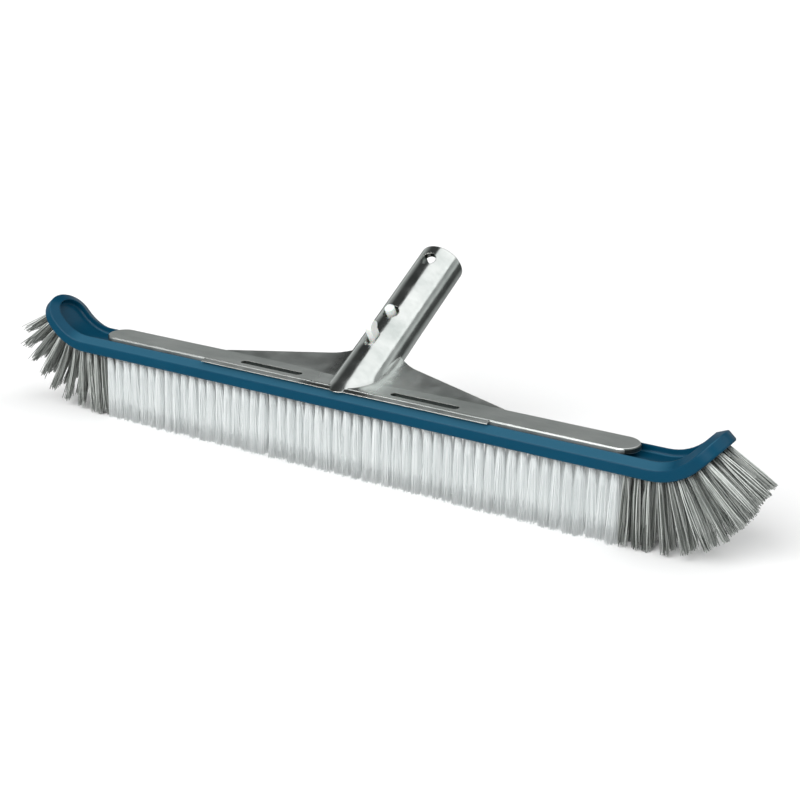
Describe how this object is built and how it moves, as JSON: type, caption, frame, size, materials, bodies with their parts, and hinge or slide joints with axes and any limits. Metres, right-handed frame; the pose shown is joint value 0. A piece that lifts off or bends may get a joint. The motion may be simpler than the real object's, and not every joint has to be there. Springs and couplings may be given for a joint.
{
  "type": "pool wall brush",
  "caption": "Long pool wall brush with upswept ends, rows of bristle tufts, a cast metal back with a handle tube and a sprung clip that locks a pole.",
  "frame": {"origin": "middle of the bristle tips, on the face that the brush scrubs with", "axes": "+X along the brush, +Y the way the handle tube leans, +Z from the bristle tips up to the back"},
  "size_m": [0.511, 0.1263, 0.1134],
  "materials": {
    "body_plastic": "moulded polypropylene, dark blue, semi-gloss",
    "cast_aluminium": "die cast and polished",
    "clip_plastic": "moulded white nylon",
    "screw_steel": "stainless pan head",
    "bristle_white": "fine white nylon filaments",
    "bristle_grey": "stiffer translucent grey filaments",
    "anchor_wire": "flat drawn wire"
  },
  "bodies": {
    "brush": {"brush_body": "body_plastic", "handle_casting": "cast_aluminium", "clip_bend": "clip_plastic", "body_screws": "screw_steel", "tufts_white_1": "bristle_white", "tufts_white_2": "bristle_white", "tufts_white_3": "bristle_white", "tufts_white_4": "bristle_white", "tufts_white_5": "bristle_white", "tufts_grey_left_1": "bristle_grey", "tufts_grey_left_2": "bristle_grey", "tufts_grey_left_3": "bristle_grey", "tufts_grey_left_4": "bristle_grey", "tufts_grey_left_5": "bristle_grey", "tufts_grey_right_1": "bristle_grey", "tufts_grey_right_2": "bristle_grey", "tufts_grey_right_3": "bristle_grey", "tufts_grey_right_4": "bristle_grey", "tufts_grey_right_5": "bristle_grey", "anchors_1": "anchor_wire", "anchors_2": "anchor_wire", "anchors_3": "anchor_wire", "anchors_4": "anchor_wire", "anchors_5": "anchor_wire"},
    "clip_upper": {"clip_leg_upper": "clip_plastic"},
    "clip_lower": {"clip_leg_lower": "clip_plastic"}
  },
  "joints": [
    {"name": "upper_leg_squeeze", "type": "hinge", "parent": "brush", "child": "clip_upper", "pos_m": [0, 0.08293, 0.08961], "axis": [1, 0, 0], "range_deg": [0, 7], "stiffness_Nm_per_rad": 4, "springref_deg": -5.73},
    {"name": "lower_leg_squeeze", "type": "hinge", "parent": "brush", "child": "clip_lower", "pos_m": [0, 0.08293, 0.08961], "axis": [-1, 0, 0], "range_deg": [0, 7], "stiffness_Nm_per_rad": 4, "springref_deg": -5.73}
  ]
}
